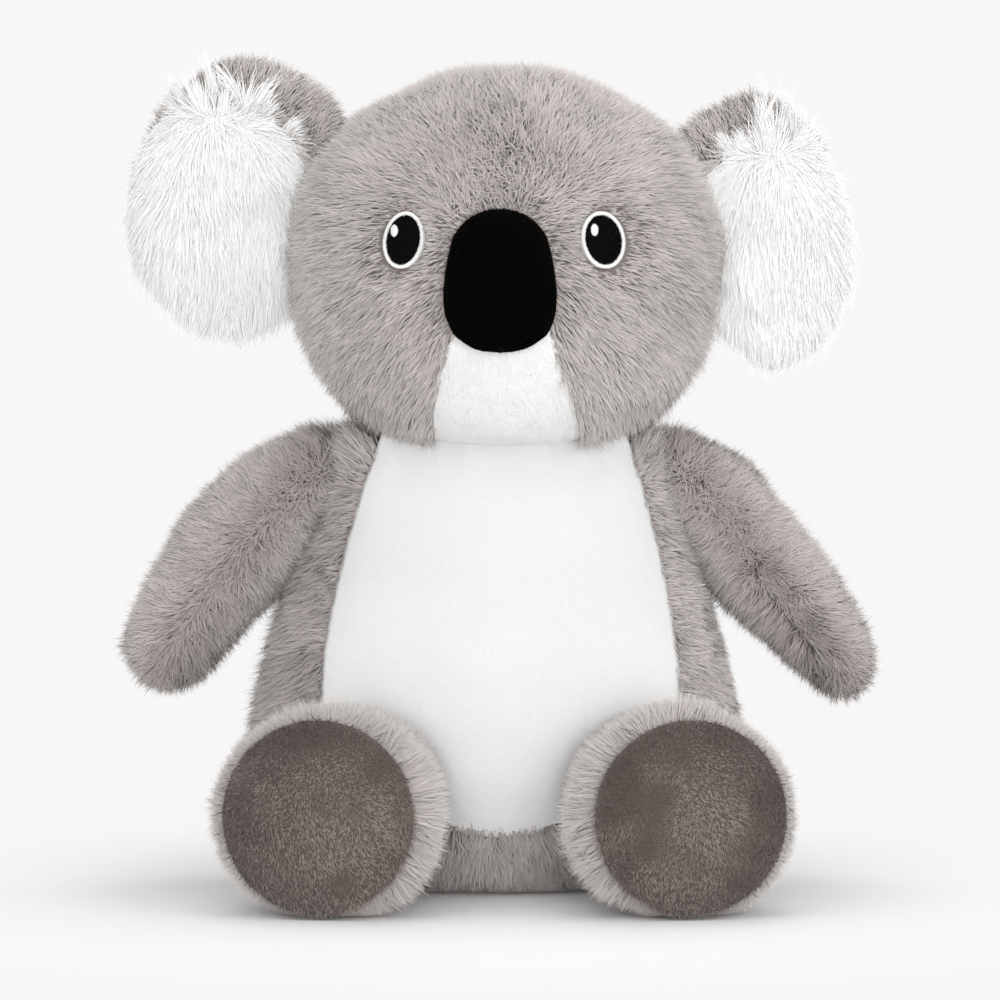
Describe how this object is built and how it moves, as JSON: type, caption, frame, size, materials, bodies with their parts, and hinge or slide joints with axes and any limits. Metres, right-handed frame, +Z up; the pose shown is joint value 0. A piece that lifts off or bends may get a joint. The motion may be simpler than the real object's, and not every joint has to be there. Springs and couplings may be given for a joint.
{
  "type": "plush koala",
  "caption": "Sitting plush koala with a smooth white belly panel, long white ear fur, black velour nose, stitched eyes and dark velour soles; head, arms, legs and ears move.",
  "frame": {"origin": "middle of the flat underside of the seat, which is the plane that the toy sits on", "axes": "+Z up along the sitting toy's height; the face looks along -Y; the toy's own left side is at +X"},
  "size_m": [0.3703, 0.2505, 0.4051],
  "materials": {
    "grey_plush": "matte",
    "white_cloth": "matte",
    "white_pile": "matte",
    "black_velour": "matte",
    "brown_velour": "matte",
    "white_thread": "satin",
    "black_thread": "satin",
    "stuffing": "matte",
    "bean_bag": "matte",
    "zip_tape": "matte",
    "zip_nylon": "satin",
    "zip_metal": "satin"
  },
  "bodies": {
    "body": {"body_skin": "grey_plush", "belly_panel": "white_cloth", "body_stuffing": "stuffing", "bean_bag": "bean_bag", "zip_tape": "zip_tape", "zip_teeth": "zip_nylon"},
    "head": {"head_skin": "grey_plush", "head_stuffing": "stuffing", "muzzle_patch": "white_pile", "nose_skin": "black_velour", "nose_stuffing": "stuffing", "right_eye_ring": "white_thread", "right_eye_pupil": "black_thread", "right_eye_glint": "white_thread", "left_eye_ring": "white_thread", "left_eye_pupil": "black_thread", "left_eye_glint": "white_thread"},
    "right_ear": {"right_ear_back": "grey_plush", "right_ear_front": "white_pile", "right_ear_stuffing": "stuffing"},
    "left_ear": {"left_ear_back": "grey_plush", "left_ear_front": "white_pile", "left_ear_stuffing": "stuffing"},
    "right_arm": {"right_arm_skin": "grey_plush", "right_arm_stuffing": "stuffing"},
    "left_arm": {"left_arm_skin": "grey_plush", "left_arm_stuffing": "stuffing"},
    "right_leg": {"right_leg_skin": "grey_plush", "right_leg_stuffing": "stuffing", "right_sole": "brown_velour"},
    "left_leg": {"left_leg_skin": "grey_plush", "left_leg_stuffing": "stuffing", "left_sole": "brown_velour"},
    "slider": {"zip_slider": "zip_metal"}
  },
  "joints": [
    {"name": "head_turn", "type": "hinge", "parent": "body", "child": "head", "pos_m": [0.0025, 0, 0.205], "axis": [0, 0, 1], "range_deg": [-25, 25]},
    {"name": "right_arm_swing", "type": "hinge", "parent": "body", "child": "right_arm", "pos_m": [-0.08331, 0, 0.198], "axis": [-0.9483, 0, 0.3173], "range_deg": [-35, 70]},
    {"name": "left_arm_swing", "type": "hinge", "parent": "body", "child": "left_arm", "pos_m": [0.08331, 0, 0.198], "axis": [-0.9483, 0, -0.3173], "range_deg": [-35, 70]},
    {"name": "right_leg_lift", "type": "hinge", "parent": "body", "child": "right_leg", "pos_m": [-0.071, -0.09, 0.0455], "axis": [-1, 0, 0], "range_deg": [-10, 25]},
    {"name": "left_leg_lift", "type": "hinge", "parent": "body", "child": "left_leg", "pos_m": [0.075, -0.09, 0.0455], "axis": [-1, 0, 0], "range_deg": [-10, 25]},
    {"name": "right_ear_fold", "type": "hinge", "parent": "head", "child": "right_ear", "pos_m": [-0.10395, 0, 0.33], "axis": [0.2756, 0, 0.9613], "range_deg": [-20, 20], "stiffness_Nm_per_rad": 0.02},
    {"name": "left_ear_fold", "type": "hinge", "parent": "head", "child": "left_ear", "pos_m": [0.11128, 0, 0.317], "axis": [0.2079, 0, -0.9781], "range_deg": [-20, 20], "stiffness_Nm_per_rad": 0.02},
    {"name": "zip_slide", "type": "slide", "parent": "body", "child": "slider", "axis": [1, 0, 0], "range_m": [0, 0.075]}
  ]
}
